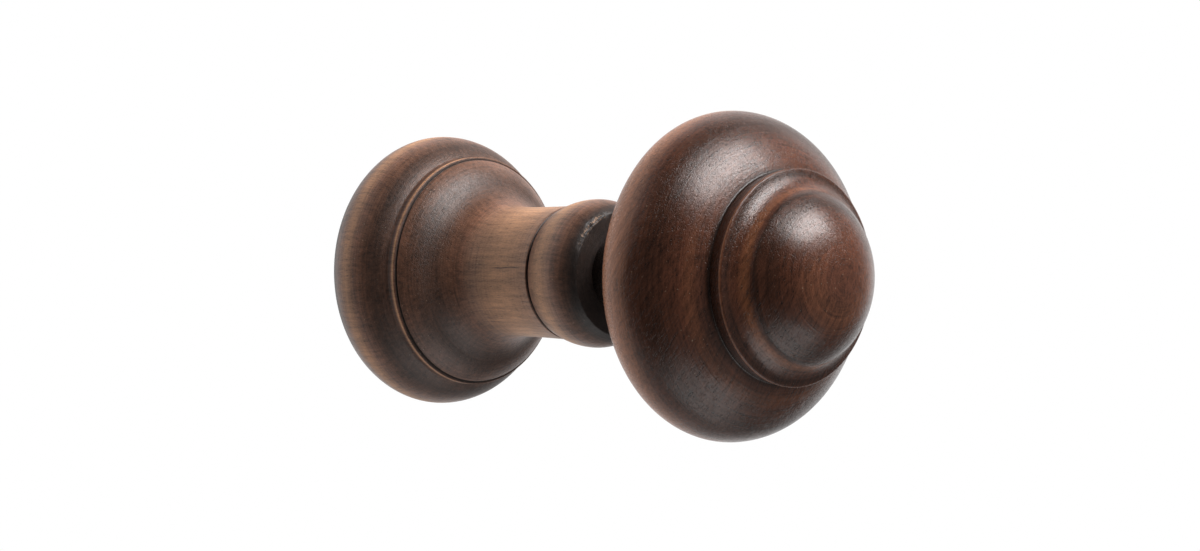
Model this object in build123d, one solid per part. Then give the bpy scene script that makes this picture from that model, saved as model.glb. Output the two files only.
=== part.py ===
from build123d import *
import os
from math import acos, atan2, cos, degrees, hypot, radians, sin, tan

# A turned wooden curtain holdback. The wall base is one turning: a round
# flange, an ogee, the stem that the curtain lies against and a bead. The
# moulded knob is a second turning with a narrow neck. A double-ended wood
# screw draws the two together, and a threaded insert in the middle of the
# flange takes the bolt that stands out of the wall.
#
# Millimetres. The wall is the plane y = 0, the knob points along -Y and +Z
# is up, so the whole piece is round about the Y axis.

# Flange
flange_r = 29.4
flange_back_r = 27.4
flange_back_length = 6.2
flange_round_r = 11.0
flange_round_turn = 54.0
back_edge_break = 0.5

# Lip in front of the flange and the fine cut inside it
lip_length = 1.95
lip_rise = 0.1
lip_cut_width = 0.45
lip_cut_depth = 1.0
lip_step = 0.6

# Ogee that runs down from the lip to the waist of the stem
ogee_start_slope = 35.0
ogee_slope = 59.7
ogee_round_r = 13.6
waist_r = 14.1

# Stem, its cut line and the bead at its end
stem_length = 15.85
stem_end_r = 14.5
line_width = 0.7
line_depth = 0.8
bead_back_length = 7.1
bead_r = 16.0
bead_front_length = 6.7
rim_r = 13.35

# Neck and underside of the knob
neck_r = 8.6
neck_length = 7.8
neck_hollow_r = 14.0
knob_back_slope = 72.0
knob_back_round_r = 13.3
knob_crest_back_r = 8.4
knob_crest_back_turn = 34.4

# Knob from its widest place to the groove behind the ring
knob_r = 34.9
knob_crest_front_r = 12.2
knob_crest_front_turn = 41.5
knob_front_round_r = 26.0
groove_r = 22.2

# Ring, the hollow inside it and the dome
ring_r = 22.9
ring_length = 3.9
ring_edge_break = 0.25
hollow_length = 5.1
hollow_depth = 0.9
dome_seat_r = 17.9
dome_r = 22.3

# Double-ended wood screw between the stem and the knob
screw_r = 3.0
screw_reach = 26.0
screw_point_length = 5.0
screw_point_r = 0.6
screw_clearance = 0.05
screw_end_room = 0.4

# Threaded insert in the back, and the room behind it for the bolt's end
insert_length = 12.0
insert_thread_r = 2.5
insert_flange_r = 5.5
insert_flange_length = 1.2
insert_body_r = 4.0
insert_barb_height = 0.4
insert_barb_count = 3
insert_clearance = 0.05
bolt_room_r = 3.2
bolt_room_depth = 8.0


class Outline:
    """Half of a turning's section, walked along the piece as distance from the
    wall and radius. The slope is the angle at which the radius falls."""

    def __init__(self, distance):
        self.distance = distance
        self.radius = 0.0
        self.slope = 0.0
        self.first = self.point()
        self.edges = []

    def point(self):
        return Vector(self.radius, -self.distance)

    def go(self, length, rise):
        """A straight step."""
        start = self.point()
        self.distance += length
        self.radius += rise
        self.edges.append(Line(start, self.point()))

    def bend(self, bend_r, new_slope):
        """An arc that leaves at the present slope and ends at the new one:
        round where the slope grows, hollow where it falls."""
        side = bend_r if new_slope > self.slope else -bend_r
        start = self.point()
        old = radians(self.slope)
        new = radians(new_slope)
        middle = (old + new) / 2
        centre_distance = self.distance - side * sin(old)
        centre_radius = self.radius - side * cos(old)
        half_way = Vector(centre_radius + side * cos(middle), -centre_distance - side * sin(middle))
        self.distance = centre_distance + side * sin(new)
        self.radius = centre_radius + side * cos(new)
        self.slope = new_slope
        self.edges.append(ThreePointArc(start, half_way, self.point()))

    def arrive_level(self, length, rise):
        """An arc that ends in line with the axis."""
        chord = atan2(rise, length)
        self.slope = -degrees(2 * chord)
        self.bend(abs(hypot(length, rise) / (2 * sin(chord))), 0.0)

    def leave_level(self, length, rise):
        """An arc that starts in line with the axis."""
        chord = atan2(rise, length)
        self.slope = 0.0
        self.bend(abs(hypot(length, rise) / (2 * sin(chord))), -degrees(2 * chord))

    def scoop(self, length, fall, depth):
        """A hollow arc whose middle lies the given depth below its chord."""
        chord_length = hypot(length, fall)
        half_turn = 2 * degrees(atan2(2 * depth, chord_length))
        chord_slope = degrees(atan2(fall, length))
        self.slope = chord_slope + half_turn
        self.bend(chord_length / (2 * sin(radians(half_turn))), chord_slope - half_turn)

    def turned(self):
        """The solid that the section sweeps about the Y axis."""
        closing = Line(self.point(), self.first)
        section = make_face(Wire(self.edges + [closing]))
        return revolve(section, Axis.Y, 360)


def base_outline():
    """Flange, lip, ogee, stem, cut line and bead, from the wall outwards."""
    base = Outline(0.0)
    base.go(0.0, flange_back_r - back_edge_break)
    base.go(back_edge_break, back_edge_break)
    base.arrive_level(flange_back_length - back_edge_break, flange_r - flange_back_r)
    base.bend(flange_round_r, flange_round_turn)
    base.go(lip_length, lip_rise)
    base.go(lip_cut_width / 2, -lip_cut_depth)
    base.go(lip_cut_width / 2, lip_cut_depth - lip_step)
    base.slope = ogee_start_slope
    base.bend(ogee_round_r, ogee_slope)
    fall_to_waist = base.radius - waist_r
    base.bend(fall_to_waist / (1 - cos(radians(ogee_slope))), 0.0)
    base.leave_level(stem_length, stem_end_r - waist_r)
    base.go(line_width / 2, -line_depth)
    base.go(line_width / 2, line_depth)
    base.arrive_level(bead_back_length, bead_r - stem_end_r)
    base.leave_level(bead_front_length, rim_r - bead_r)
    base.go(0.0, -rim_r)
    return base


def knob_outline(seat):
    """Neck, underside, crest, ring, hollow and dome, from the stem's end outwards."""
    knob = Outline(seat)
    knob.go(0.0, neck_r)
    knob.go(neck_length, 0.0)
    knob.bend(neck_hollow_r, -knob_back_slope)
    back_turn = cos(radians(knob_crest_back_turn))
    crest_rise = knob_crest_back_r * (1 - back_turn)
    round_rise = knob_back_round_r * (back_turn - cos(radians(knob_back_slope)))
    straight_rise = knob_r - crest_rise - round_rise - knob.radius
    knob.go(straight_rise / tan(radians(knob_back_slope)), straight_rise)
    knob.bend(knob_back_round_r, -knob_crest_back_turn)
    knob.bend(knob_crest_back_r, 0.0)
    knob.bend(knob_crest_front_r, knob_crest_front_turn)
    front_centre_r = knob.radius - knob_front_round_r * cos(radians(knob.slope))
    knob.bend(knob_front_round_r, degrees(acos((groove_r - front_centre_r) / knob_front_round_r)))
    knob.go(ring_length - ring_edge_break, ring_r - groove_r)
    knob.go(ring_edge_break, -ring_edge_break)
    knob.scoop(hollow_length - ring_edge_break, knob.radius - dome_seat_r, hollow_depth)
    knob.slope = degrees(acos(dome_seat_r / dome_r))
    knob.bend(dome_r, 90.0)
    return knob


def screw_outline(seat):
    """Plain shank as thick as its thread's crests, with a point at each end."""
    screw = Outline(seat - screw_reach)
    screw.go(0.0, screw_point_r)
    screw.go(screw_point_length, screw_r - screw_point_r)
    screw.go(2 * (screw_reach - screw_point_length), 0.0)
    screw.go(screw_point_length, screw_point_r - screw_r)
    screw.go(0.0, -screw_point_r)
    return screw


def screw_bore(seat):
    """Room for the screw on both sides of the seat."""
    reach = screw_reach + screw_end_room
    bore = Outline(seat - reach)
    bore.go(0.0, screw_r + screw_clearance)
    bore.go(2 * reach, 0.0)
    bore.go(0.0, -bore.radius)
    return bore.turned()


def insert_outline():
    """Flanged brass insert with barbed rings round its body."""
    insert = Outline(0.0)
    insert.go(0.0, insert_flange_r)
    insert.go(insert_flange_length, 0.0)
    insert.go(0.0, insert_body_r - insert_flange_r)
    barb_pitch = (insert_length - insert_flange_length) / insert_barb_count
    for _ in range(insert_barb_count):
        insert.go(barb_pitch / 4, 0.0)
        insert.go(0.0, insert_barb_height)
        insert.go(barb_pitch * 3 / 4, -insert_barb_height)
    insert.go(0.0, -insert.radius)
    return insert


def thread_hole():
    """Hole through the insert, as wide as the roots of its thread's turns."""
    hole = Outline(0.0)
    hole.go(0.0, insert_thread_r)
    hole.go(insert_length, 0.0)
    hole.go(0.0, -insert_thread_r)
    return hole.turned()


def insert_bore():
    """Stepped hole in the flange for the insert, and for the bolt's end behind it."""
    bore = Outline(0.0)
    bore.go(0.0, insert_flange_r + insert_clearance)
    bore.go(insert_flange_length + insert_clearance, 0.0)
    bore.go(0.0, insert_body_r + insert_barb_height + insert_clearance - bore.radius)
    bore.go(insert_length - insert_flange_length, 0.0)
    bore.go(0.0, bolt_room_r - bore.radius)
    bore.go(bolt_room_depth, 0.0)
    bore.go(0.0, -bolt_room_r)
    return bore.turned()


base_section = base_outline()
seat_distance = base_section.distance
knob_section = knob_outline(seat_distance)

wall_base = base_section.turned() - insert_bore() - screw_bore(seat_distance)
knob = knob_section.turned() - screw_bore(seat_distance)
dowel_screw = screw_outline(seat_distance).turned()
threaded_insert = insert_outline().turned() - thread_hole()

print("stem ends at", round(seat_distance, 2), "and the dome at", round(knob_section.distance, 2))

nodes = {
    "wall_base": wall_base,
    "knob": knob,
    "dowel_screw": dowel_screw,
    "threaded_insert": threaded_insert,
}

os.makedirs("parts", exist_ok=True)
for name, solid in nodes.items():
    export_step(solid, f"parts/{name}.step")
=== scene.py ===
# %% [markdown]
# A turned wooden curtain holdback, dressed on top of its packed solids.
#
# The real object is two pieces of close-grained wood, each turned on a lathe
# and stained walnut: a wall base (flange, ogee, stem and bead) and a knob
# (neck, crest, ring, hollow and dome). A steel screw hidden inside joins the
# two, and a brass insert in the back takes the bolt in the wall. This lesson
# makes the two turnings again as fine surfaces with worn edges, gives every
# surface its finish, and lights and frames the whole as the photograph does.

# %% Load the frame
from math import acos, atan2, cos, degrees, hypot, radians, sin, tan
from types import SimpleNamespace

import bpy
import numpy as np
from mathutils import Matrix, Vector


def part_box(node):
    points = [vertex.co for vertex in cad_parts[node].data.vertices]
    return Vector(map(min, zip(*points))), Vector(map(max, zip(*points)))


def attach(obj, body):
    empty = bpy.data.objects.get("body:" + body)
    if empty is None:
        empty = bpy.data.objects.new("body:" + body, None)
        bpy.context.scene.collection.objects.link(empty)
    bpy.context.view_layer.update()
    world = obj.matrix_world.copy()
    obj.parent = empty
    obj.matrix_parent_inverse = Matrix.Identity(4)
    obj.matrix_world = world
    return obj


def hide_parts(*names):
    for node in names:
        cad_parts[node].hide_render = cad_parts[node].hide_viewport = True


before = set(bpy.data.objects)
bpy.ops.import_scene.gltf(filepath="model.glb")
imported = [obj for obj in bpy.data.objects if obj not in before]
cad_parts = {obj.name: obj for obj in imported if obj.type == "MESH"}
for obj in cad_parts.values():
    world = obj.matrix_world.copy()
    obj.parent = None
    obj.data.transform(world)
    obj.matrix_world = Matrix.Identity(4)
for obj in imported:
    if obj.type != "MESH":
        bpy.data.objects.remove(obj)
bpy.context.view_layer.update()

# %% [markdown]
# A turning is known by its section alone. The section is walked from the
# wall outwards, as a turner reads it off a drawing: straight steps and arcs,
# each arc leaving at the slope where the last one ended. Sampled points, one
# every twentieth of a millimetre, are kept here, because worn edges, end grain
# and the bands of wear, painted shade and painted light all follow from the
# shape of that line. A curve object with a Screw modifier would turn the same
# shape, but its points would carry neither worn edges nor bands.

# %% The section walker
mm = 0.001
walk_step = 0.05
print("sections are walked in steps of", walk_step, "mm")


class Section:
    """Half section of a turning as points (distance from the wall, radius) in
    millimetres. A straight step adds points on a line. An arc adds the points
    centre + R (sin t, cos t), with t running from the old slope to the new."""

    def __init__(self, distance, radius):
        self.at = np.array([distance, radius])
        self.slope = 0.0
        self.points = [self.at[None, :]]
        self.marks = {}

    def mark(self, name):
        """Notes how far along the section a feature stands."""
        self.marks[name] = float(np.hypot(*np.diff(self.line(), axis=0).T).sum())

    def add(self, points):
        self.points.append(points[1:])
        self.at = points[-1]

    def go(self, length, rise):
        """A straight step along the axis and away from it."""
        count = max(2, int(hypot(length, rise) / walk_step) + 1)
        part = np.linspace(0.0, 1.0, count)[:, None]
        self.add(self.at + part * np.array([length, rise]))

    def bend(self, bend_r, new_slope):
        """An arc, round where the slope grows and hollow where it falls."""
        side = bend_r if new_slope > self.slope else -bend_r
        turn = radians(new_slope - self.slope)
        count = max(3, int(abs(turn) * bend_r / walk_step) + 1)
        t = np.radians(np.linspace(self.slope, new_slope, count))
        centre = self.at - side * np.array([sin(t[0]), cos(t[0])])
        self.add(centre + side * np.stack([np.sin(t), np.cos(t)], axis=1))
        self.slope = new_slope

    def arrive_level(self, length, rise):
        """An arc that ends in line with the axis."""
        chord = atan2(rise, length)
        self.slope = -degrees(2 * chord)
        self.bend(abs(hypot(length, rise) / (2 * sin(chord))), 0.0)

    def leave_level(self, length, rise):
        """An arc that starts in line with the axis."""
        chord = atan2(rise, length)
        self.slope = 0.0
        self.bend(abs(hypot(length, rise) / (2 * sin(chord))), -degrees(2 * chord))

    def scoop(self, length, fall, depth):
        """A hollow arc whose middle lies the given depth below its chord."""
        chord_length = hypot(length, fall)
        half_turn = 2 * degrees(atan2(2 * depth, chord_length))
        chord_slope = degrees(atan2(fall, length))
        self.slope = chord_slope + half_turn
        self.bend(chord_length / (2 * sin(radians(half_turn))), chord_slope - half_turn)

    def line(self):
        return np.concatenate(self.points)


# %% [markdown]
# The wall base: its section starts at the bottom of the hole for the insert,
# comes out to the flat back, goes round the flange, over the lip and its fine
# cut, down the ogee to the stem, past the cut line and over the bead, and
# ends in the hole for the screw. The sizes are those of the solids, in
# millimetres and degrees.

# %% The wall base's sizes
insert_bore = [(20.05, 3.2), (12.05, 3.2), (12.05, 4.45), (1.25, 4.45), (1.25, 5.55), (0.0, 5.55)]
screw_bore_r = 3.05
screw_bore_reach = 26.4
flange_r = 29.4
flange_back_r = 27.4
flange_back_length = 6.2
flange_round_r = 11.0
flange_round_turn = 54.0
back_edge_break = 0.5
lip_length = 1.95
lip_rise = 0.1
lip_cut_width = 0.45
lip_cut_depth = 1.0
lip_step = 0.6
ogee_start_slope = 35.0
ogee_slope = 59.7
ogee_round_r = 13.6
waist_r = 14.1
stem_length = 15.85
stem_end_r = 14.5
line_width = 0.7
line_depth = 0.8
bead_back_length = 7.1
bead_r = 16.0
bead_front_length = 6.7
rim_r = 13.35
print("flange", 2 * flange_r, "mm across, waist", 2 * waist_r, "and bead", 2 * bead_r)

# %% The wall base's section


def base_section():
    """Section of the base from the insert's hole to the screw's hole."""
    line = Section(insert_bore[0][0], 0.0)
    for distance, radius in insert_bore:
        line.go(distance - line.at[0], radius - line.at[1])
    line.go(0.0, flange_back_r - back_edge_break - line.at[1])
    line.mark("back")
    line.go(back_edge_break, back_edge_break)
    line.arrive_level(flange_back_length - back_edge_break, flange_r - flange_back_r)
    line.mark("crest")
    line.bend(flange_round_r, flange_round_turn)
    line.mark("cove")
    line.go(lip_length, lip_rise)
    line.mark("lip")
    line.go(lip_cut_width / 2, -lip_cut_depth)
    line.mark("cut")
    line.go(lip_cut_width / 2, lip_cut_depth - lip_step)
    line.slope = ogee_start_slope
    line.bend(ogee_round_r, ogee_slope)
    line.mark("ogee")
    line.bend((line.at[1] - waist_r) / (1 - cos(radians(ogee_slope))), 0.0)
    line.mark("waist")
    line.leave_level(stem_length, stem_end_r - waist_r)
    line.go(line_width / 2, -line_depth)
    line.mark("line")
    line.go(line_width / 2, line_depth)
    line.arrive_level(bead_back_length, bead_r - stem_end_r)
    line.mark("bead")
    line.leave_level(bead_front_length, rim_r - bead_r)
    line.mark("rim")
    line.go(0.0, screw_bore_r - rim_r)
    line.go(-screw_bore_reach, 0.0)
    line.go(0.0, -screw_bore_r)
    return line


base_outline = base_section()
seat_distance = base_outline.line()[:, 0].max()
print("stem ends", round(seat_distance, 2), "mm from the wall; features at", base_outline.marks)

# %% [markdown]
# The knob: out of the screw's hole, along the narrow neck, up the underside,
# over the crest and in to the groove, then the ring, the hollow and the dome.
# The crest is three arcs that share their slopes where they meet, so that no
# light catches on a joint between them.

# %% The knob's sizes
neck_r = 8.6
neck_length = 7.8
neck_hollow_r = 14.0
knob_back_slope = 72.0
knob_back_round_r = 13.3
knob_crest_back_r = 8.4
knob_crest_back_turn = 34.4
knob_r = 34.9
knob_crest_front_r = 12.2
knob_crest_front_turn = 41.5
knob_front_round_r = 26.0
groove_r = 22.2
ring_r = 22.9
ring_length = 3.9
ring_edge_break = 0.25
hollow_length = 5.1
hollow_depth = 0.9
dome_seat_r = 17.9
dome_r = 22.3
print("knob", 2 * knob_r, "mm across, ring", 2 * ring_r, "and dome", 2 * dome_seat_r)

# %% The knob's section


def knob_section(seat):
    """Section of the knob, from the bottom of the screw's hole to the tip."""
    line = Section(seat + screw_bore_reach, 0.0)
    line.go(0.0, screw_bore_r)
    line.go(-screw_bore_reach, 0.0)
    line.go(0.0, neck_r - screw_bore_r)
    line.mark("neck")
    line.go(neck_length, 0.0)
    line.bend(neck_hollow_r, -knob_back_slope)
    back_turn = cos(radians(knob_crest_back_turn))
    crest_rise = knob_crest_back_r * (1 - back_turn)
    round_rise = knob_back_round_r * (back_turn - cos(radians(knob_back_slope)))
    straight_rise = knob_r - crest_rise - round_rise - line.at[1]
    line.go(straight_rise / tan(radians(knob_back_slope)), straight_rise)
    line.mark("back")
    line.bend(knob_back_round_r, -knob_crest_back_turn)
    line.bend(knob_crest_back_r, 0.0)
    line.mark("crest")
    line.bend(knob_crest_front_r, knob_crest_front_turn)
    line.mark("front")
    front_centre_r = line.at[1] - knob_front_round_r * cos(radians(knob_crest_front_turn))
    line.bend(knob_front_round_r, degrees(acos((groove_r - front_centre_r) / knob_front_round_r)))
    line.mark("groove")
    line.go(ring_length - ring_edge_break, ring_r - groove_r)
    line.mark("ring")
    line.go(ring_edge_break, -ring_edge_break)
    line.scoop(hollow_length - ring_edge_break, line.at[1] - dome_seat_r, hollow_depth)
    line.mark("seat")
    line.slope = degrees(acos(dome_seat_r / dome_r))
    line.bend(dome_r, 90.0)
    line.mark("tip")
    return line


knob_outline = knob_section(seat_distance)
print("dome's tip", round(knob_outline.at[0], 2), "mm from the wall; features at", knob_outline.marks)

# %% [markdown]
# Sanding and lacquer ease every sharp edge. A Bevel modifier would cut them
# all by one rule. Here the section is softened by a running average with
# Gaussian weights, and the turn of the softened line tells where it bends,
# so that the mesh can have its points there.

# %% Ease the edges
edge_ease = 0.13
turn_width = 0.25
held_points = 20


def gaussian(values, width):
    """Running average of rows, weighted exp(-x^2 / 2 width^2), ends held."""
    reach = int(4 * width / walk_step) + 1
    x = np.arange(-reach, reach + 1) * walk_step
    weights = np.exp(-0.5 * (x / width) ** 2)
    weights /= weights.sum()
    before = np.repeat(values[:1], reach, 0)
    after = np.repeat(values[-1:], reach, 0)
    held = np.concatenate([before, values, after])
    return np.stack([np.convolve(column, weights, "valid") for column in held.T], axis=1)


def evenly(line, step):
    """Points of the line at even steps along it."""
    run = np.concatenate([[0.0], np.cumsum(np.hypot(*np.diff(line, axis=0).T))])
    at = np.linspace(0.0, run[-1], int(run[-1] / step) + 1)
    return np.stack([np.interp(at, run, column) for column in line.T], axis=1)


def ease(line):
    """The softened line with its ends held, and its turn in radians per mm."""
    fine = evenly(line, walk_step)
    place = np.arange(len(fine))
    blend = np.clip(np.minimum(place, place[::-1]) / held_points, 0, 1)[:, None]
    soft = fine + (gaussian(fine, edge_ease) - fine) * blend
    way = np.unwrap(np.arctan2(*np.gradient(gaussian(fine, turn_width), axis=0).T))
    turn = gaussian((np.gradient(way) / walk_step)[:, None], turn_width)[:, 0]
    return soft, turn


for title, outline in (("base", base_outline), ("knob", knob_outline)):
    soft_line, turn_per_mm = ease(outline.line())
    print(title, len(soft_line), "points, sharpest turn", round(np.abs(turn_per_mm).max(), 2), "per mm")

# %% [markdown]
# The colour isn't even along the section. Painted shade darkens the cuts,
# coves and recesses, the back edge and the faces turned from the lamps, and a
# real dark joint line crosses the stem. The stain soaks deeper into end grain.
# Painted light warms the lit crests, flanks and limbs, and on the lip's and
# ring's arrises the stain is rubbed thin. Each such band is listed by the
# feature it lies at, an offset, a half width and a strength, and the bands
# are added up as bells along the section. Bands follow the section, which no
# solid pattern could do.

# %% Bands of painted shade, painted light and wear
# The base's dark bands are painted shade at the back edge, in the coves, in the cut by the lip, on the
# ogee, on the bead and on its end face in the knob's shadow; the band at the line is the real dark
# joint.
base_shade_and_joint = [
    ("back", 0.6, 1.7, 1.3),
    ("cove", -3.4, 2.6, 0.5),
    ("cove", 0.5, 0.5, 0.6),
    ("cut", 0.0, 0.42, 1.1),
    ("ogee", 2.0, 4.5, 0.25),
    ("line", 0.0, 0.62, 1.6),
    ("bead", 5.6, 2.6, 0.5),
    ("rim", 5.0, 4.6, 1.5),
]
# The base's warm bands are painted light on the lit flange crest, stem and bead, and real wear on the
# lip's arris.
base_lit_and_worn = [
    ("crest", 0.2, 1.7, 0.6),
    ("lip", -0.35, 0.35, 1.0),
    ("waist", 7.0, 8.5, 0.75),
    ("bead", -2.8, 2.6, 0.7),
]
# The knob's dark bands are all painted shade: the neck's recess, the front of the crest, the groove,
# the hollow and round the dome's seat.
knob_painted_shade = [
    ("neck", 5.0, 12.0, 1.6),
    ("crest", 8.0, 4.2, 0.45),
    ("groove", -0.1, 0.7, 0.7),
    ("groove", 1.6, 1.4, 0.5),
    ("ring", 1.3, 1.1, 0.5),
    ("seat", 0.1, 0.6, 0.5),
    ("seat", 3.0, 2.6, 0.45),
]
# The knob's warm bands are painted light on the crest's lit limb, before the groove, in the hollow and
# on the dome, and real wear on the ring's arris.
knob_lit_and_worn = [
    ("crest", -3.6, 5.6, 0.8),
    ("groove", -4.6, 2.0, 0.12),
    ("ring", -0.1, 0.28, 0.6),
    ("seat", -2.0, 1.2, 0.35),
    ("tip", -8.0, 4.0, 0.12),
]
print("bands on the base", len(base_shade_and_joint + base_lit_and_worn), "and on the knob", len(knob_painted_shade + knob_lit_and_worn))


def bells(bands, marks, s):
    """Sum of strength * exp(-x^2 / half width^2), with x the way from each band."""
    total = np.zeros_like(s)
    for name, offset, half_width, strength in bands:
        total += strength * np.exp(-(((s - marks[name] - offset) / half_width) ** 2))
    return total


# %% [markdown]
# A turning is the section carried round the axis: for each angle u and each
# place v along the section, the point is (r(v) sin u, -d(v), r(v) cos u). The
# places crowd where the section turns, so that a sharp lip gets many of them
# and a plain cone few. Each point also keeps its bands of painted shade,
# painted light and wear, the rim's chips and painted highlight, how much end
# grain it shows and its place along the section as attributes, which the
# finish reads.

# %% Places along the section, and end grain
turn_pull = 2.2
hidden_share = 0.12
print("hidden parts get", hidden_share, "of the rows that a visible part of the same shape gets")


def place_rows(line, turn, count, outside):
    """Row numbers into the line, denser where it turns and on the outside."""
    weight = (1.0 + turn_pull * np.sqrt(np.abs(turn))) * np.where(outside, 1.0, hidden_share)
    run = np.concatenate([[0.0], np.cumsum(weight[1:])])
    return np.interp(np.linspace(0.0, run[-1], count), run, np.arange(len(line)))


def end_grain(u, way, fibre):
    """How squarely the surface cuts the fibre: the cosine between the fibre and
    the surface's normal, which is (cos way sin u, sin way, cos way cos u)."""
    grain_way = np.array(fibre) / np.linalg.norm(fibre)
    outwards = grain_way[0] * np.sin(u) + grain_way[2] * np.cos(u)
    return np.abs(np.cos(way) * outwards + grain_way[1] * np.sin(way))


# %% Faces of a turning


def turned_faces(around, inner):
    """Quads between neighbouring angles and rows, then a fan of triangles at
    each of the two poles, whose points come last."""
    i, j = np.meshgrid(np.arange(around), np.arange(inner - 1), indexing="ij")
    k = (i + 1) % around
    corners = [i * inner + j, k * inner + j, k * inner + j + 1, i * inner + j + 1]
    quads = np.stack(corners, -1).reshape(-1, 4)
    i = np.arange(around)
    k = (i + 1) % around
    first = around * inner
    last_row = inner - 1
    start_fan = np.stack([np.full(around, first), k * inner, i * inner], -1)
    end_fan = np.stack([np.full(around, first + 1), i * inner + last_row, k * inner + last_row], -1)
    return quads.tolist() + start_fan.tolist() + end_fan.tolist()


print("faces of a turning of 3 angles and 2 rows:", turned_faces(3, 2))

# %% Turn a section into a mesh
sharp_angle = radians(50)
print("edges over", round(degrees(sharp_angle)), "degrees stay sharp in the shading")


def keep_columns(mesh, columns):
    """Keeps each grid of values as an attribute of the mesh's points: the rows
    between the poles first, then one value for each pole."""
    for key, column in columns.items():
        values = np.concatenate([column[:, 1:-1].reshape(-1), column[0, [0, -1]]])
        mesh.attributes.new(key, "FLOAT", "POINT").data.foreach_set("value", values.astype(np.float32))


def turning(name, outline, outside, rows, around, relief, dark, warm, fibre, bruise_and_glint):
    """Mesh of the section turned about the Y axis, moved along its normal by
    relief(u, d, s), closed at each pole by a fan."""
    soft, turn = ease(outline.line())
    keep = outside(soft)
    at = place_rows(soft, turn, rows, keep)
    count = np.arange(len(soft))
    d = np.interp(at, count, soft[:, 0])
    r = np.interp(at, count, soft[:, 1])
    way = np.arctan2(np.gradient(r), np.gradient(d))
    u = np.arange(around) * 2 * np.pi / around
    U, D = np.meshgrid(u, d, indexing="ij")
    S = np.broadcast_to(at * walk_step, U.shape)
    off = relief(U, D, S) * np.interp(at, count, keep.astype(float))
    R = np.maximum(r + off * np.cos(way), 0.0)
    D = D - off * np.sin(way)
    R[:, [0, -1]] = 0.0
    grid = np.stack([R * np.sin(U), -D, R * np.cos(U)], axis=-1)[:, 1:-1] * mm
    poles = np.array([[0.0, -d[0], 0.0], [0.0, -d[-1], 0.0]]) * mm
    points = np.concatenate([grid.reshape(-1, 3), poles])
    faces = turned_faces(around, rows - 2)
    mesh = bpy.data.meshes.new(name)
    mesh.from_pydata(points.tolist(), [], faces)
    # Of these, dark holds painted shade and the joint line, warm holds painted light and wear, and the
    # rim's bruise holds its chips and a painted highlight.
    keep_columns(mesh, {
        "dark": bells(dark, outline.marks, S),
        "warm": bells(warm, outline.marks, S),
        "along": S,
        "end": end_grain(U, way, fibre),
        "raw_and_glint": bruise_and_glint(U, S),
    })
    mesh.shade_smooth()
    mesh.set_sharp_from_angle(angle=sharp_angle)
    piece = bpy.data.objects.new(name, mesh)
    bpy.context.scene.collection.objects.link(piece)
    print(name, len(points), "points and", len(faces), "faces")
    return piece


# %% [markdown]
# Real turnings aren't perfectly round: wood moves as it dries, and the sander
# leaves slow waves. The relief is a sum of a few sine waves in the angle and
# along the axis, at a few hundredths of a millimetre, and the base also gets
# the bruised rim of its bead, where small bites are gone from the edge.
# Bump alone would leave the outline perfect, so the points themselves move.

# %% Slow waves
base_wave, base_wave_seed = 0.022, 3
knob_wave, knob_wave_seed = 0.028, 5
wave_turns = range(2, 9)
shortest_wave = 2.0


def waves(u, d, seed):
    """Slow unevenness: a sum of sines of whole turns round and half waves along."""
    draw = np.random.default_rng(seed)
    total = np.zeros_like(u)
    for turns in wave_turns:
        phase, shift, pitch = draw.uniform(0, 2 * np.pi, 3)
        total += np.sin(turns * u + phase) * np.sin(d / (shortest_wave + pitch) + shift) / turns
    return total


def knob_relief(u, d, s):
    """The knob has waves alone."""
    return knob_wave * waves(u, d, knob_wave_seed)


once_round = np.linspace(0.0, 2 * np.pi, 200)
crest_waves = knob_relief(once_round, np.full_like(once_round, knob_outline.marks["crest"]), None)
print("waves round the knob up to", round(np.abs(crest_waves).max(), 4), "mm")

# %% The bruised rim and its painted highlight
bruise_centre = radians(-40.0)
bruise_half = radians(27.0)
bruise_depth = 0.12
bruise_seed = 11
bite_count = 40
bite_reach = 0.3
least_width, most_width = 0.008, 0.045
least_depth, most_depth = 0.2, 1.0
bite_behind, bite_before = -0.9, 0.4
chip_inset, chip_half = 0.7, 0.7
# The narrow line inside the chips, at this inset, width and strength, is unstained wood with a painted
# highlight on it.
arris_glint_inset, arris_glint_half, arris_glint_strength = 0.25, 0.16, 0.9
rng = np.random.default_rng(bruise_seed)
bite_angles = bruise_centre + bruise_half * rng.uniform(-1, 1, bite_count)
bite_widths = rng.uniform(least_width, most_width, bite_count)
bite_depths = rng.uniform(least_depth, most_depth, bite_count) * bruise_depth
bite_places = base_outline.marks["rim"] + rng.uniform(bite_behind, bite_before, bite_count)
print(bite_count, "bites in the rim, the deepest", round(bite_depths.max(), 3), "mm")


def base_relief(u, d, s):
    """Waves, less a bell for each bite in the rim."""
    total = base_wave * waves(u, d, base_wave_seed)
    for angle, width, depth, place in zip(bite_angles, bite_widths, bite_depths, bite_places):
        turn = np.angle(np.exp(1j * (u - angle)))
        total -= depth * np.exp(-0.5 * (turn / width) ** 2 - 0.5 * ((s - place) / bite_reach) ** 2)
    return total


def rim_bruise_and_glint(u, s):
    """Where unstained wood shows and a highlight is painted: across the rim a broad
    bell for the chips and a narrow one for the edge inside them, which is
    unstained and carries the painted highlight, times a bell round the rim."""
    turn = np.angle(np.exp(1j * (u - bruise_centre))) / bruise_half
    across = s - base_outline.marks["rim"]
    chips = np.exp(-(((across + chip_inset) / chip_half) ** 2))
    # The narrow bell is a painted highlight on the worn edge.
    arris_glint = arris_glint_strength * np.exp(-(((across - arris_glint_inset) / arris_glint_half) ** 2))
    return np.exp(-(turn ** 4)) * (chips + arris_glint)


def no_bruise(u, s):
    """The knob has no chipped rim and no painted highlight."""
    return np.zeros_like(u)


# %% [markdown]
# Both pieces are turned with the same function. The base was cut with its
# fibre along the axis, as a stem has to be for strength. The knob's fibre
# lies nearly across it, as its streaks in the photograph show. Each turning
# takes the place of its plain solid and is joined to the same body.

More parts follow.
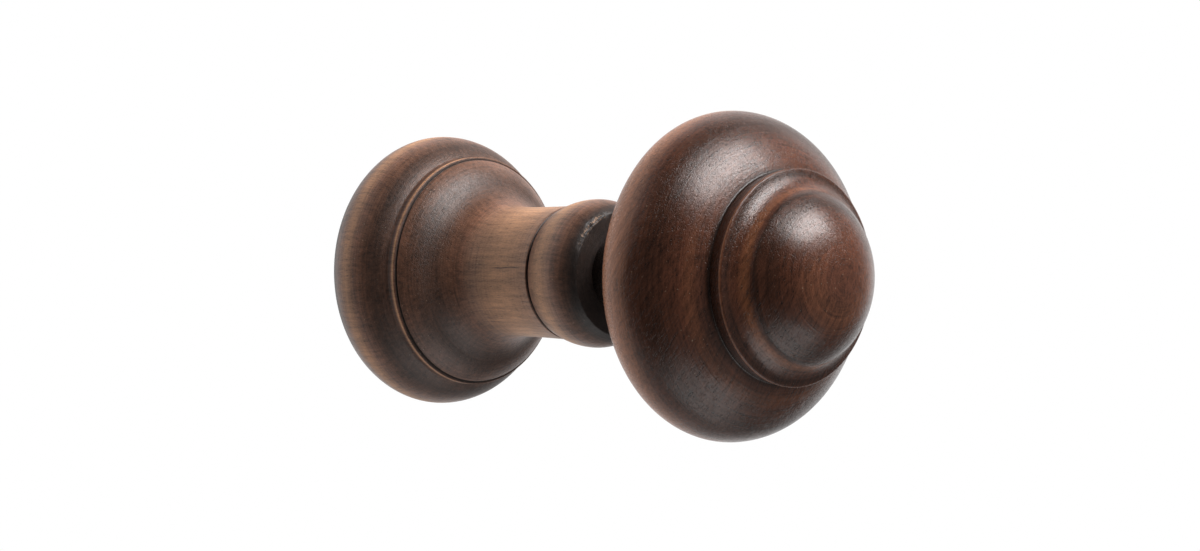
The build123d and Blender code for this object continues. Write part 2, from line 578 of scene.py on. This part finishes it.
# %% Turn the two pieces
base_fibre = (0.0, 1.0, 0.0)
knob_fibre = (0.18, -0.46, 0.83)
base_rows, base_around = 258, 380
knob_rows, knob_around = 262, 376
covered_r = 6.5


def base_outside(line):
    """True from the flat back to where the neck covers the end face."""
    run = np.arange(len(line)) * walk_step
    face_end = base_outline.marks["rim"] + rim_r - covered_r
    return (run > base_outline.marks["back"]) & (run < face_end)


def knob_outside(line):
    """True from the neck to the tip."""
    return np.arange(len(line)) * walk_step > knob_outline.marks["neck"]


wall_base = turning(
    "base_turning", base_outline, base_outside, base_rows, base_around,
    base_relief, base_shade_and_joint, base_lit_and_worn, base_fibre, rim_bruise_and_glint,
)
knob = turning(
    "knob_turning", knob_outline, knob_outside, knob_rows, knob_around,
    knob_relief, knob_painted_shade, knob_lit_and_worn, knob_fibre, no_bruise,
)
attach(wall_base, "root")
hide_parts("wall_base")
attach(knob, "root")
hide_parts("knob")

# %% Compare the turnings with their solids
for piece, node in ((wall_base, "wall_base"), (knob, "knob")):
    low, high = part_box(node)
    corners = np.array([vertex.co for vertex in piece.data.vertices])
    past = np.round((corners.max(0) - np.array(high)) / mm, 3)
    print(piece.name, "leaves its solid's box by", past, "mm")

# %% [markdown]
# Shader maths reads best as ordinary expressions. This small class holds one
# socket of a material's node tree, and its operators add the Math nodes that
# work the expression out. Every other node comes from one method, which sets
# the node's own settings first and then the values or links of its sockets.
# Placing the nodes by hand would draw the same network, but it couldn't be
# read as a formula.

# %% The socket class


class Socket:
    """A value in a shader: arithmetic on it builds Math nodes."""

    def __init__(self, tree, socket):
        self.tree = tree
        self.socket = socket

    def node(self, kind, settings=None, output=0, **inputs):
        """A node of any type, its settings set first and its sockets after. An
        input is named, with _ for a space, or numbered i0, i1 and so on."""
        made = self.tree.nodes.new(kind)
        for key, value in (settings or {}).items():
            setattr(made, key, value)
        for key, value in inputs.items():
            numbered = key[0] == "i" and key[1:].isdigit()
            place = int(key[1:]) if numbered else key.replace("_", " ")
            self.feed(made.inputs[place], value)
        return Socket(self.tree, made.outputs[output])

    def feed(self, target, value):
        """Links a socket to an input, or sets the input to a plain value."""
        if isinstance(value, Socket):
            self.tree.links.new(value.socket, target)
        else:
            target.default_value = value

    def math(self, operation, *values, clamp=False):
        inputs = {f"i{n}": value for n, value in enumerate(values)}
        return self.node("ShaderNodeMath", {"operation": operation, "use_clamp": clamp}, **inputs)

    def __add__(self, other):
        return self.math("ADD", self, other)

    def __radd__(self, other):
        return self.math("ADD", other, self)

    def __sub__(self, other):
        return self.math("SUBTRACT", self, other)

    def __rsub__(self, other):
        return self.math("SUBTRACT", other, self)

    def __mul__(self, other):
        return self.math("MULTIPLY", self, other)

    def __rmul__(self, other):
        return self.math("MULTIPLY", other, self)

    def __truediv__(self, other):
        return self.math("DIVIDE", self, other)

    def __rtruediv__(self, other):
        return self.math("DIVIDE", other, self)

    def clamp(self):
        """Held between 0 and 1."""
        return self.math("ADD", self, 0.0, clamp=True)

    def most(self, other):
        return self.math("MAXIMUM", self, other)

    def smooth(self, low, high):
        """0 below low, 1 above high, and an S between."""
        settings = {"interpolation_type": "SMOOTHSTEP"}
        return self.node("ShaderNodeMapRange", settings, i0=self, i1=low, i2=high, i3=0.0, i4=1.0)


print("a socket understands", [name for name, part in vars(Socket).items() if callable(part)])

# %% Start a material


def start_material(name):
    """An empty material with its Principled shader, and a Socket to start from."""
    material = bpy.data.materials.new(name)
    material.use_nodes = True
    shader = material.node_tree.nodes["Principled BSDF"]
    print("material", name)
    return material, shader, Socket(material.node_tree, None)


# %% [markdown]
# Wood is a solid pattern: long fibres, rings of growth and open pores fill
# the block, and the lathe only uncovers them. So every pattern is worked out
# in Object coordinates, turned so that its third axis lies along the fibre.
# On the stem the pores then show as fine lines, on a face across the fibre
# as dots, with no seam anywhere. Painted textures would need a new drawing
# for each face.

# %% Patterns of wood
wood_shapes = {
    "blotch": (2.2, 7.0, 3.0, 0.6),
    "figure": (15.0, 0.75, 2.0, 0.6),
    "pores": (8.0, 0.2, 1.0, 0.5),
    "grain": (3.2, 0.22, 2.0, 0.7),
    "dust": (1.0, 0.30, 0.0, 0.5),
}
for title, (stretch, size, _, _) in wood_shapes.items():
    print(title, "is", size, "mm across the fibre and", round(size * stretch, 2), "mm along it")


def along_fibre(tools, place, fibre, stretch, size):
    """Place in the wood's own frame, in millimetres over size, with the third
    axis along the fibre and drawn out by the stretch."""
    turn = Vector(fibre).to_track_quat("Z", "X").inverted().to_euler()
    scale = Vector((1.0, 1.0, 1.0 / stretch)) / (size * mm)
    settings = {"vector_type": "POINT"}
    turned = tools.node("ShaderNodeMapping", settings, Vector=place, Rotation=turn)
    return tools.node("ShaderNodeMapping", settings, Vector=turned, Scale=scale)


def noise(tools, vector, detail, rough):
    """Soft noise from 0 to 1, with one grain for each unit of the vector."""
    return tools.node("ShaderNodeTexNoise", Vector=vector, Scale=1.0, Detail=detail, Roughness=rough)


def wood_pattern(tools, place, fibre, name):
    """One of the patterns in the table, from 0 to 1: stretch along the fibre,
    size in millimetres, detail and roughness of the noise."""
    stretch, size, detail, rough = wood_shapes[name]
    return noise(tools, along_fibre(tools, place, fibre, stretch, size), detail, rough)


# %% [markdown]
# Colours can't go through Math nodes, which would turn them grey. They are
# mixed and scaled by nodes of their own, and these helpers keep that short.
# Metal colours are written as the eye sees them and turned into light here.

# %% Colours


def mix(tools, part, first, second):
    """Colour between the first, where part is 0, and the second, where it is 1."""
    settings = {"data_type": "RGBA", "blend_type": "MIX", "clamp_factor": True}
    return tools.node("ShaderNodeMix", settings, output=2, i0=part, i6=first, i7=second)


def scaled(tools, colour, times):
    """The colour made lighter or darker by a factor."""
    return tools.node("ShaderNodeVectorMath", {"operation": "SCALE"}, i0=colour, i3=times)


def linear(red, green, blue):
    """Colour written as it is seen, from 0 to 255, turned into light."""
    seen = np.array([red, green, blue]) / 255.0
    light = np.where(seen <= 0.04045, seen / 12.92, ((seen + 0.055) / 1.055) ** 2.4)
    return (*light.tolist(), 1.0)


print("a seen grey of 128 is", round(linear(128, 128, 128)[0], 3), "of the light of white")

# %% [markdown]
# The finish is a walnut stain under a thin satin lacquer. The stain soaks in
# unevenly and is rubbed thin on the lip's and ring's arrises, where the warm
# unstained wood shows through. Painted shade darkens the hollows and the faces
# turned from the lamps, and painted light warms the lit crests and flanks. The
# film fills the pores only in part, so the highlight is grainy and breaks up
# into short strokes. Three marks lie on top: rings left by the lathe tool,
# pale specks of dust under the film, and one hair crack along the fibre of
# the stem.

# %% The hair crack
crack_start, crack_end, crack_height = 36.5, 47.0, 1.3
crack_fade_in, crack_fade_out = 2.0, 3.0
crack_sharpness = 50.0
crack_side = (-0.001, 0.0)
print("hair crack from", crack_start, "to", crack_end, "mm from the wall")


def seam(tools, x, y, z, wander):
    """The hair crack on the left of the stem: 1 on a line along the fibre that
    is a quarter of a millimetre wide and wanders a little, 0 elsewhere."""
    far = y / -mm
    across = z / mm - crack_height - wander
    thin = 1.0 - (across * across * crack_sharpness).clamp()
    begins = far.smooth(crack_start, crack_start + crack_fade_in)
    ends = far.smooth(crack_end - crack_fade_out, crack_end)
    return thin * begins * (1.0 - ends) * (1.0 - x.smooth(*crack_side))


# %% Patterns on one surface
lathe_pitch = 0.46
lathe_reach = 13.0
lathe_detail, lathe_rough = 2.0, 0.6
lathe_kept_in_lit_and_worn = 0.15
pore_edge, pore_steepness = 0.42, 7.0
dust_edge = (0.82, 0.86)
crack_wander = 1.5
print("tool rings every", lathe_pitch, "mm")


def surface_patterns(tools, fibre, split):
    """All that the finish is worked out from: the bands kept on the mesh, the
    wood's patterns spread evenly about 0, and pits, dust and crack from 0 to 1."""
    wood = SimpleNamespace()
    for key in ("dark", "warm", "along", "end", "raw_and_glint"):
        setattr(wood, key, tools.node("ShaderNodeAttribute", {"attribute_name": key}, output="Fac"))
    place = tools.node("ShaderNodeTexCoord", output="Object")
    x, y, z = [tools.node("ShaderNodeSeparateXYZ", output=axis, Vector=place) for axis in "XYZ"]
    for key in ("blotch", "figure", "grain"):
        setattr(wood, key, wood_pattern(tools, place, fibre, key) - 0.5)
    round_x = x / (lathe_reach * mm)
    round_z = z / (lathe_reach * mm)
    rings = tools.node("ShaderNodeCombineXYZ", X=wood.along / lathe_pitch, Y=round_x, Z=round_z)
    # The tool rings fade in the warm bands, which are painted light and wear.
    lathe_share = (1.0 - wood.warm * (1.0 - lathe_kept_in_lit_and_worn)).clamp()
    wood.lathe = (noise(tools, rings, lathe_detail, lathe_rough) - 0.5) * lathe_share
    pores = wood_pattern(tools, place, fibre, "pores")
    wood.pits = ((pore_edge - pores) * pore_steepness).clamp()
    wood.dust = wood_pattern(tools, place, fibre, "dust").smooth(*dust_edge)
    wood.crack = seam(tools, x, y, z, wood.blotch * crack_wander) * split
    return wood


# %% [markdown]
# The colour runs through three tones: deep, brown and warm. Deep is reached
# in painted shade, on the joint line and in end grain, warm in painted light
# and on worn arrises. The patterns then make it lighter and darker. Chips,
# dust and the crack are laid over it last, as they came to the real piece
# last, and the painted highlight on the rim's edge comes with the chips.
# A colour ramp could hold the three tones, but then each piece would need a
# ramp of its own, and two mixes say the same in two lines.

# %% The colour: stain, painted shade and painted light
tint_strengths = {"blotch": 1.0, "figure": 1.7, "lathe": 1.5, "grain": 1.3}
mean_lightness = 1.04
pit_shade = 0.35
chip_and_glint_strengths = {"raw_and_glint": 1.0, "grain": 2.2, "figure": 1.2}
chip_and_glint_edge = (0.95, 1.15)
chip_and_glint_cover = 0.8
chip_and_glint_colour = (0.36, 0.21, 0.13, 1.0)
dust_cover = 0.5
dust_colour = (0.55, 0.42, 0.30, 1.0)
crack_cover = 0.9
print("patterns in the stain", tint_strengths)


def weighed(wood, strengths):
    """Sum of the named patterns, each times its strength."""
    total = 0.0
    for key, strength in strengths.items():
        total = getattr(wood, key) * strength + total
    return total


def stain_and_painted_light_colour(tools, wood, soak, tones):
    """Brown, towards deep in the painted shade, on the joint line and in end grain,
    and towards warm in the painted light and on worn arrises, made uneven by the
    patterns; then the chips with the painted highlight on the rim's edge, the
    dust and the crack."""
    deep, brown, warm = tones
    # Deep is reached in painted shade, on the joint line and in end grain, warm in painted light and on
    # worn arrises.
    shade = 0.5 + wood.warm * 0.5 - wood.dark * 0.5 - wood.end * wood.end * soak
    colour = mix(tools, (shade * 2.0).clamp(), deep, brown)
    colour = mix(tools, (shade * 2.0 - 1.0).clamp(), colour, warm)
    lightness = mean_lightness + weighed(wood, tint_strengths) * (1.0 - wood.warm * 0.5)
    colour = scaled(tools, colour, lightness - wood.pits * pit_shade)
    # The chip mask also holds the painted highlight on the rim's edge.
    chips = weighed(wood, chip_and_glint_strengths).smooth(*chip_and_glint_edge)
    colour = mix(tools, chips * chip_and_glint_cover, colour, chip_and_glint_colour)
    colour = mix(tools, wood.dust * (1.0 - wood.dark) * dust_cover, colour, dust_colour)
    return mix(tools, wood.crack * crack_cover, colour, deep)


# %% [markdown]
# The film of lacquer is thin: a weak coat over a base whose roughness follows
# the wood. The bump is shallow and breaks the highlight into grains and
# short strokes. A trace of Metallic gives the highlight some of the wood's
# own brown. A strong smooth coat would look like plastic.

# %% The stained wood, with painted light and shade
roughness_strengths = {"dark": 0.08, "warm": 0.12, "grain": 0.2}
coat_strengths = {"dark": -0.5, "warm": -0.5, "blotch": 0.5}
height_strengths = {"figure": 0.8, "grain": 1.0, "lathe": 0.7, "pits": -0.8, "crack": -2.0}
bump_strength = 0.42
bump_reach = 0.12 * mm
wood_specular = 0.5
wood_metallic = 0.05
print("bump reaches", round(bump_reach / mm, 2), "mm for each unit of", height_strengths)


def stained_wood_with_painted_light(name, fibre, soak, gloss, film_roughness, split, tones):
    """Stain under lacquer, with painted shade and painted light in its colour. The
    film is duller in the bands of painted shade and the joint, and in the bands
    of painted light and wear, and the bump follows fibre, grain, tool rings,
    pits and crack."""
    material, shader, tools = start_material(name)
    wood = surface_patterns(tools, fibre, split)
    tools.feed(shader.inputs["Base Color"], stain_and_painted_light_colour(tools, wood, soak, tones))
    shader.inputs["Metallic"].default_value = wood_metallic
    shader.inputs["Specular IOR Level"].default_value = wood_specular
    shader.inputs["Coat Roughness"].default_value = film_roughness
    tools.feed(shader.inputs["Roughness"], film_roughness + weighed(wood, roughness_strengths))
    tools.feed(shader.inputs["Coat Weight"], (gloss + weighed(wood, coat_strengths)).clamp())
    height = weighed(wood, height_strengths)
    bump = tools.node("ShaderNodeBump", Strength=bump_strength, Distance=bump_reach, Height=height)
    tools.feed(shader.inputs["Normal"], bump)
    print(name, "has", len(material.node_tree.nodes), "nodes")
    return material


# %% Stain the two turnings, with their painted light and shade
base_tones = ((0.022, 0.013, 0.010, 1.0), (0.165, 0.072, 0.041, 1.0), (0.52, 0.265, 0.135, 1.0))
knob_tones = ((0.012, 0.007, 0.005, 1.0), (0.090, 0.031, 0.0165, 1.0), (0.50, 0.19, 0.082, 1.0))
base_wood = stained_wood_with_painted_light(
    "base_wood", base_fibre, soak=0.36, gloss=0.2, film_roughness=0.38, split=1.0, tones=base_tones
)
knob_wood = stained_wood_with_painted_light(
    "knob_wood", knob_fibre, soak=0.12, gloss=0.2, film_roughness=0.17, split=0.0, tones=knob_tones
)
wall_base.data.materials.append(base_wood)
knob.data.materials.append(knob_wood)

# %% [markdown]
# The hardware keeps its solids. Brass and zinc-plated steel are metals with
# a little roughness, and a fine noise in it stands for handling marks. Plain
# colours would do for the screw, which is hidden, but not for the insert's
# flange, which shows on the back.

# %% Metals
mark_stretch, mark_size = 0.2, 0.8
mark_detail, mark_rough = 3.0, 0.6
mark_roughness = 0.2
worn_share = 0.8
worn_edge = (0.3, 0.8)


def turned_metal(name, colour, roughness):
    """Metal with soft marks round its axis, a little darker where it is worn."""
    material, shader, tools = start_material(name)
    place = tools.node("ShaderNodeTexCoord", output="Object")
    round_axis = along_fibre(tools, place, (0, 1, 0), mark_stretch, mark_size)
    marks = noise(tools, round_axis, mark_detail, mark_rough)
    worn = tuple(worn_share * part for part in colour[:3]) + (1.0,)
    tools.feed(shader.inputs["Base Color"], mix(tools, marks.smooth(*worn_edge), colour, worn))
    shader.inputs["Metallic"].default_value = 1.0
    tools.feed(shader.inputs["Roughness"], roughness + (marks - 0.5) * mark_roughness)
    return material


for node, material in (
    ("dowel_screw", turned_metal("plated_steel", linear(196, 196, 190), roughness=0.32)),
    ("threaded_insert", turned_metal("turned_brass", linear(212, 176, 106), roughness=0.3)),
):
    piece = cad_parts[node]
    piece.data.materials.clear()
    piece.data.materials.append(material)
    print(piece.name, "is", material.name)

# %% [markdown]
# The camera stands in front of the knob, to its left and a little above it,
# far away with a long lens, so that the two ends of the piece keep nearly
# the same scale. Its direction and reach were fitted to the outline in the
# photograph. A near camera would swell the knob.

# %% Camera
azimuth = radians(-44.18)
elevation = radians(1.3)
camera_reach = 1.297
aim_distance = 48.2 * mm
aim_left = 5.3 * mm
aim_above = 0.56 * mm
level_reach = cos(elevation)
towards_camera = Vector((sin(azimuth) * level_reach, -cos(azimuth) * level_reach, sin(elevation)))
camera_right = Vector((0, 0, 1)).cross(towards_camera).normalized()
camera_up = towards_camera.cross(camera_right)
camera_data = bpy.data.cameras.new("camera")
camera_data.lens = 180.0
camera_data.sensor_width = 36.0
camera_data.clip_start = 0.05
camera_data.clip_end = 50.0
camera = bpy.data.objects.new("camera", camera_data)
aim = Vector((0.0, -aim_distance, 0.0)) + camera_right * aim_left - camera_up * aim_above
stand = Matrix.Translation(aim + towards_camera * camera_reach)
camera.matrix_world = stand @ Matrix((camera_right, camera_up, towards_camera)).transposed().to_4x4()
bpy.context.scene.collection.objects.link(camera)
bpy.context.scene.camera = camera
print("camera at", [round(part, 3) for part in camera.matrix_world.translation])

# %% [markdown]
# The set is a light tent: a pale floor well below, cloth all round, and soft
# boxes. The floor is a disc that stays inside the tent. It keeps the object's
# shadow, and a glow that only the camera sees makes it as white as the
# background. It isn't seen in the lacquer, where the tent's own glow stands
# for it.

# %% Floor
floor_drop = 0.55
floor_radius = 1.5
floor_corners = 96
floor_colour = (0.84, 0.84, 0.84, 1.0)
floor_roughness = 0.8
floor_glow = 0.4
white = (1.0, 1.0, 1.0, 1.0)


def make_floor():
    """A disc with its corners at (radius cos u, radius sin u)."""
    u = np.arange(floor_corners) * 2 * np.pi / floor_corners
    depth = np.full(floor_corners, -floor_drop)
    rim = np.stack([floor_radius * np.cos(u), floor_radius * np.sin(u), depth], 1)
    mesh = bpy.data.meshes.new("floor")
    mesh.from_pydata(rim.tolist(), [], [list(range(floor_corners))])
    floor = bpy.data.objects.new("floor", mesh)
    bpy.context.scene.collection.objects.link(floor)
    material, shader, tools = start_material("floor_paint")
    shader.inputs["Roughness"].default_value = floor_roughness
    shader.inputs["Base Color"].default_value = floor_colour
    shader.inputs["Emission Color"].default_value = white
    seen = tools.node("ShaderNodeLightPath", output="Is Camera Ray")
    tools.feed(shader.inputs["Emission Strength"], seen * floor_glow)
    mesh.materials.append(material)
    floor.visible_glossy = False
    floor.visible_diffuse = False
    floor.visible_shadow = False
    print("floor", 2 * floor_radius, "m across and", floor_drop, "m below the axis")


make_floor()

# %% [markdown]
# Three soft boxes hang in the tent. Each is given by its direction as the
# camera sees it (right, up and towards the camera), its two sides in metres
# and its power in watts. The key lamp, high on the right, draws the highlight
# on the dome and the crest. The fill lamp, behind it, warms the upper limbs
# and isn't seen in the lacquer. The low lamp lifts the undersides a little.
# A sun or a point would give hard spots instead.

# %% Lamps
set_centre = Vector((0.0, -0.07, 0.0))
lamp_reach = 1.0
lamps = {
    "key_lamp": ((0.57, 0.757, 0.31), (0.80, 0.42), 12.5),
    "fill_lamp": ((0.58, 0.76, -0.34), (0.50, 0.40), 14.0),
    "low_lamp": ((0.28, -0.92, 0.22), (0.80, 0.70), 2.0),
}


def soft_box(name, direction, size, power):
    """An area lamp that faces the centre of the set from a direction."""
    right, up, near = direction
    way = (camera_right * right + camera_up * up + towards_camera * near).normalized()
    data = bpy.data.lights.new(name, "AREA")
    data.shape = "RECTANGLE"
    data.size, data.size_y = size
    data.energy = power
    lamp = bpy.data.objects.new(name, data)
    lamp.location = set_centre + way * lamp_reach
    lamp.rotation_mode = "QUATERNION"
    lamp.rotation_quaternion = way.to_track_quat("Z", "Y")
    lamp.visible_camera = False
    bpy.context.scene.collection.objects.link(lamp)
    print(name, power, "W, at", [round(part, 2) for part in lamp.location])
    return lamp


soft_boxes = {name: soft_box(name, *rest) for name, rest in lamps.items()}
soft_boxes["fill_lamp"].visible_glossy = False

# %% [markdown]
# The cloth of the tent is brightest above, behind and to the left. Overhead
# and at the upper right behind the object it is dark, and there is none on
# the camera's side. That is what makes the wood that faces the camera deep
# brown while its flanks pick up light. The tent is a sphere that the camera
# doesn't see, and its glow is worked out for each point. A ready-made
# surround picture would do the same, but here each patch has its own reason.
#
# A dark patch is a direction, the share of light left in it, and the two
# angles between which the light comes back. A bounce patch is a direction,
# the glow it adds, and where that begins and how far it takes to grow, both
# as cosines. An even patch is a direction, its own glow, and the two angles
# between which it gives way to the rest.

# %% The tent's glow
tent_brightest = Vector((-0.66, 0.50, -0.56)).normalized()
tent_low, tent_high = 0.10, 1.1
tent_start, tent_span = -0.4, 1.4
dark_patches = {
    "ceiling": (Vector((0.12, 0.97, 0.15)).normalized(), 0.1, 24.0, 60.0),
    "corner": (Vector((0.67, 0.58, -0.47)).normalized(), 0.2, 8.0, 30.0),
}
bounce_patches = {
    "floor": (Vector((-0.25, -0.95, 0.15)).normalized(), 0.3, 0.3, 0.6),
    "right cloth": (Vector((0.80, -0.05, 0.60)).normalized(), 0.12, 0.35, 0.45),
}
even_patches = {
    "backdrop": (Vector((-0.15, 0.22, -0.95)).normalized(), 0.95, 44.0, 58.0),
    "open side": (Vector((-0.30, 0.0, 0.95)).normalized(), 0.06, 36.0, 76.0),
}
print("patches of the tent", [*dark_patches, *bounce_patches, *even_patches])


def ramp(x):
    """S-shaped step from 0 to 1."""
    x = np.clip(x, 0.0, 1.0)
    return x * x * (3 - 2 * x)


def away_from(ways, middle, inner, outer):
    """0 within the inner angle of a direction, 1 beyond the outer one."""
    away = np.degrees(np.arccos(np.clip(ways @ np.array(middle), -1, 1)))
    return ramp((away - inner) / (outer - inner))


def tent_glow(ways):
    """Light by direction (right, up, towards the camera): a slow rise towards the
    brightest side, times the dark patches, plus what the floor and the right
    side send back, with the even backdrop and the open side laid over it."""
    near_brightest = ways @ np.array(tent_brightest)
    cloth = tent_low + (tent_high - tent_low) * ramp((near_brightest - tent_start) / tent_span)
    for middle, left, inner, outer in dark_patches.values():
        cloth = cloth * (left + (1.0 - left) * away_from(ways, middle, inner, outer))
    for middle, glow, start, span in bounce_patches.values():
        cloth = cloth + glow * ramp((ways @ np.array(middle) - start) / span)
    for middle, glow, inner, outer in even_patches.values():
        cloth = glow + (cloth - glow) * away_from(ways, middle, inner, outer)
    return cloth


# %% Tent
tent_radius = 1.6
tent_around, tent_rises = 96, 60
steepest_rise = 89


def make_tent():
    """Sphere as the point centre + R (sin a cos e, sin e, -cos a cos e), for turns
    a and rises e, with its glow kept as an attribute."""
    turns = np.arange(tent_around) * 2 * np.pi / tent_around
    rises = np.radians(np.linspace(-steepest_rise, steepest_rise, tent_rises))
    a, e = np.meshgrid(turns, rises, indexing="ij")
    ways = np.stack([np.sin(a) * np.cos(e), np.sin(e), -np.cos(a) * np.cos(e)], -1).reshape(-1, 3)
    axes = np.array([camera_right, camera_up, towards_camera])
    points = np.array(set_centre) + tent_radius * ways @ axes
    i, j = np.meshgrid(np.arange(tent_around), np.arange(tent_rises - 1), indexing="ij")
    here = i * tent_rises + j
    there = (i + 1) % tent_around * tent_rises + j
    quads = np.stack([here, here + 1, there + 1, there], -1).reshape(-1, 4)
    mesh = bpy.data.meshes.new("tent")
    mesh.from_pydata(points.tolist(), [], quads.tolist())
    glow = tent_glow(ways).astype(np.float32)
    mesh.attributes.new("glow", "FLOAT", "POINT").data.foreach_set("value", glow)
    material, shader, tools = start_material("tent_cloth")
    tools.tree.nodes.remove(shader)
    strength = tools.node("ShaderNodeAttribute", {"attribute_name": "glow"}, output="Fac")
    emission = tools.node("ShaderNodeEmission", Color=strength)
    tools.feed(tools.tree.nodes["Material Output"].inputs["Surface"], emission)
    mesh.materials.append(material)
    tent = bpy.data.objects.new("tent", mesh)
    bpy.context.scene.collection.objects.link(tent)
    tent.visible_camera = False
    print("tent glow from", round(float(glow.min()), 3), "to", round(float(glow.max()), 3))


make_tent()

# %% [markdown]
# The world stands behind the tent. The camera, and mirrors and glass, see it
# as plain white. To everything else it is a weak grey, so that the white of
# the background adds no light to the object.

# %% World
surround_light = 0.35
world = bpy.data.worlds.new("surround")
bpy.context.scene.world = world
world.use_nodes = True
background = world.node_tree.nodes["Background"]
sky = Socket(world.node_tree, None)
seen = sky.node("ShaderNodeLightPath", output="Is Camera Ray")
for kind in ("Is Glossy Ray", "Is Transmission Ray"):
    seen = seen.most(sky.node("ShaderNodeLightPath", output=kind))
background.inputs["Color"].default_value = white
sky.feed(background.inputs["Strength"], surround_light + seen * (1.0 - surround_light))
print("world of strength", surround_light, "that is seen as 1")

# %% [markdown]
# Last, the colours are shown as they are written, with no tone curve.

# %% Finish
bpy.context.scene.view_settings.view_transform = "Standard"
